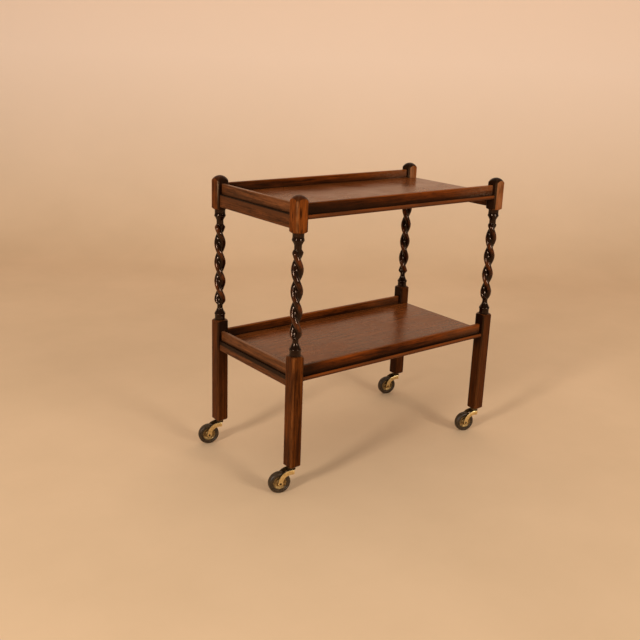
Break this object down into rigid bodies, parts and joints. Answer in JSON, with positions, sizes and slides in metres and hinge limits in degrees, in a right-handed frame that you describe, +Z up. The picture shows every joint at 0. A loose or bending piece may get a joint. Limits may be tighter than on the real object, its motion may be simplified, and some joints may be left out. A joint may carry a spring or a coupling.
{
  "type": "bar cart",
  "caption": "Oak serving trolley: barley-twist legs on swivelling brass casters carry an upper and a lower tray, each with a low gallery and one open end.",
  "frame": {"origin": "on the floor, midway between the four leg axes", "axes": "+X along the trays towards their open ends, +Y from the front to the back, +Z up"},
  "size_m": [0.7367, 0.3794, 0.7375],
  "materials": {
    "leg_oak": "dark stained oak, polished",
    "panel_oak": "stained oak, satin",
    "board_oak": "dark stained oak, satin",
    "brass": "worn polished brass",
    "hub_brass": "dull aged brass",
    "tyre_rubber": "dark moulded rubber"
  },
  "bodies": {
    "frame": {"leg_front_left": "leg_oak", "leg_back_left": "leg_oak", "leg_front_right": "leg_oak", "leg_back_right": "leg_oak", "caster_sockets": "brass", "upper_panel": "panel_oak", "upper_front_gallery": "board_oak", "upper_back_gallery": "board_oak", "upper_end_gallery": "board_oak", "upper_left_apron": "board_oak", "upper_right_apron": "board_oak", "lower_panel": "panel_oak", "lower_front_gallery": "board_oak", "lower_back_gallery": "board_oak", "lower_end_gallery": "board_oak", "lower_left_apron": "board_oak", "lower_right_apron": "board_oak"},
    "caster_front_left": {"fork_front_left": "brass", "axle_front_left": "brass"},
    "wheel_front_left": {"hub_front_left": "hub_brass", "tyre_front_left": "tyre_rubber"},
    "caster_back_left": {"fork_back_left": "brass", "axle_back_left": "brass"},
    "wheel_back_left": {"hub_back_left": "hub_brass", "tyre_back_left": "tyre_rubber"},
    "caster_front_right": {"fork_front_right": "brass", "axle_front_right": "brass"},
    "wheel_front_right": {"hub_front_right": "hub_brass", "tyre_front_right": "tyre_rubber"},
    "caster_back_right": {"fork_back_right": "brass", "axle_back_right": "brass"},
    "wheel_back_right": {"hub_back_right": "hub_brass", "tyre_back_right": "tyre_rubber"}
  },
  "joints": [
    {"name": "swivel_front_left", "type": "hinge", "parent": "frame", "child": "caster_front_left", "pos_m": [-0.3306, -0.1685, 0.069], "axis": [0, 0, 1], "continuous": true},
    {"name": "spin_front_left", "type": "hinge", "parent": "caster_front_left", "child": "wheel_front_left", "pos_m": [-0.36103, -0.15861, 0.028], "axis": [0.309, 0.9511, 0], "continuous": true},
    {"name": "swivel_back_left", "type": "hinge", "parent": "frame", "child": "caster_back_left", "pos_m": [-0.3306, 0.1685, 0.069], "axis": [0, 0, 1], "continuous": true},
    {"name": "spin_back_left", "type": "hinge", "parent": "caster_back_left", "child": "wheel_back_left", "pos_m": [-0.36103, 0.17839, 0.028], "axis": [0.309, 0.9511, 0], "continuous": true},
    {"name": "swivel_front_right", "type": "hinge", "parent": "frame", "child": "caster_front_right", "pos_m": [0.3306, -0.1685, 0.069], "axis": [0, 0, 1], "continuous": true},
    {"name": "spin_front_right", "type": "hinge", "parent": "caster_front_right", "child": "wheel_front_right", "pos_m": [0.30017, -0.15861, 0.028], "axis": [0.309, 0.9511, 0], "continuous": true},
    {"name": "swivel_back_right", "type": "hinge", "parent": "frame", "child": "caster_back_right", "pos_m": [0.3306, 0.1685, 0.069], "axis": [0, 0, 1], "continuous": true},
    {"name": "spin_back_right", "type": "hinge", "parent": "caster_back_right", "child": "wheel_back_right", "pos_m": [0.30017, 0.17839, 0.028], "axis": [0.309, 0.9511, 0], "continuous": true}
  ]
}
